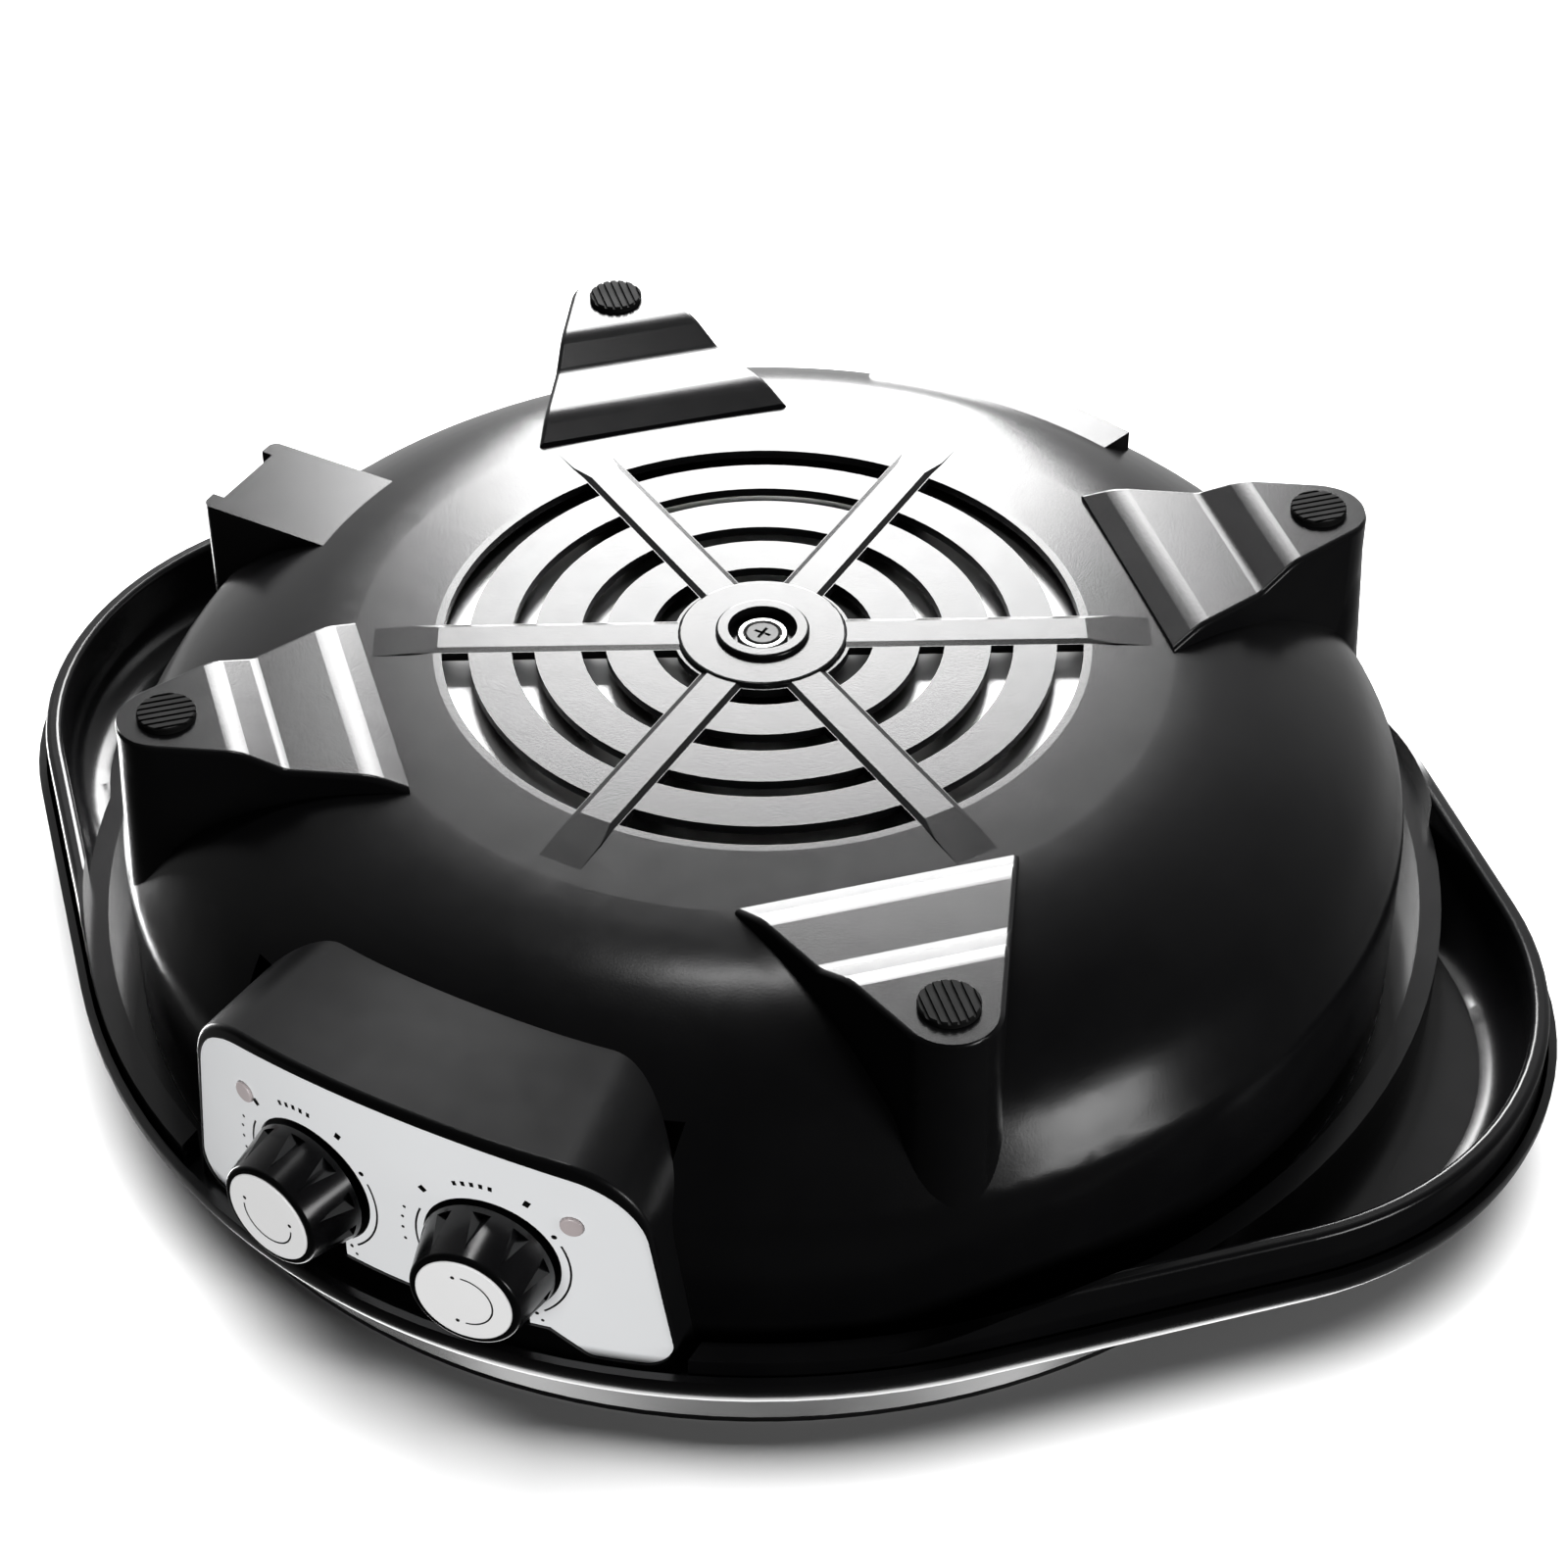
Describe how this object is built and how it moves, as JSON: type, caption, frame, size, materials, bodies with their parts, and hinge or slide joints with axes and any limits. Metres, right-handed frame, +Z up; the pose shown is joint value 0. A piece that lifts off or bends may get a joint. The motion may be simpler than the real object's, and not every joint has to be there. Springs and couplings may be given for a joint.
{
  "type": "round tabletop electric pizza pan",
  "caption": "Round tabletop electric pizza pan with a shallow cooking dish, side handle ears, a vented underside on stubby legs, and turning heat controls.",
  "frame": {"origin": "middle of the overall outline on the resting plane, level with the undersides of the foot pads", "axes": "+Z up, the control panel faces -Y, +X runs through the right-hand ear and the power inlet"},
  "size_m": [0.4988, 0.4298, 0.1318],
  "materials": {
    "casing_plastic": "black satin moulding with a fine grain",
    "ring_plastic": "black gloss",
    "housing_plastic": "black satin gloss",
    "foot_rubber": "matt black, ribbed",
    "zinc_steel": "bright zinc plate",
    "dark_steel": "blackened",
    "shield_metal": "rolled sheet",
    "pan_coating": "dark non-stick coating on die-cast aluminium",
    "element_sheath": "dull oxidised sheath",
    "fascia_silver": "pale silver satin with dark printed scales",
    "knob_plastic": "black gloss",
    "cap_white": "pale silver satin",
    "lamp_grey": "clouded grey",
    "socket_plastic": "black",
    "pin_brass": "plated"
  },
  "bodies": {
    "cooker": {"lower_casing": "casing_plastic", "foot_pad_1": "foot_rubber", "foot_pad_2": "foot_rubber", "foot_pad_3": "foot_rubber", "foot_pad_4": "foot_rubber", "hub_washer": "zinc_steel", "hub_screw": "dark_steel", "centre_stud": "zinc_steel", "vent_baffle": "shield_metal", "heat_shield": "shield_metal", "cooking_pan": "pan_coating", "outer_heating_element": "element_sheath", "inner_heating_element": "element_sheath", "handle_ring": "ring_plastic", "top_ring": "ring_plastic", "control_housing": "housing_plastic", "fascia_plate": "fascia_silver", "thermostat_left": "zinc_steel", "lamp_lens_left": "lamp_grey", "lamp_body_left": "housing_plastic", "thermostat_right": "zinc_steel", "lamp_lens_right": "lamp_grey", "lamp_body_right": "housing_plastic", "inlet_socket": "socket_plastic", "inlet_pins": "pin_brass", "element_clips": "zinc_steel", "thermostat_nut_left": "zinc_steel", "thermostat_nut_right": "zinc_steel"},
    "left_control": {"knob_left": "knob_plastic", "knob_cap_left": "cap_white", "knob_shaft_left": "zinc_steel"},
    "right_control": {"knob_right": "knob_plastic", "knob_cap_right": "cap_white", "knob_shaft_right": "zinc_steel"}
  },
  "joints": [
    {"name": "left_knob_turn", "type": "hinge", "parent": "cooker", "child": "left_control", "pos_m": [-0.02818, -0.1936, 0.0716], "axis": [-0.1409, -0.99, 0], "range_deg": [-270, 0]},
    {"name": "right_knob_turn", "type": "hinge", "parent": "cooker", "child": "right_control", "pos_m": [0.02818, -0.1936, 0.0716], "axis": [0.1409, -0.99, 0], "range_deg": [-270, 0]}
  ]
}
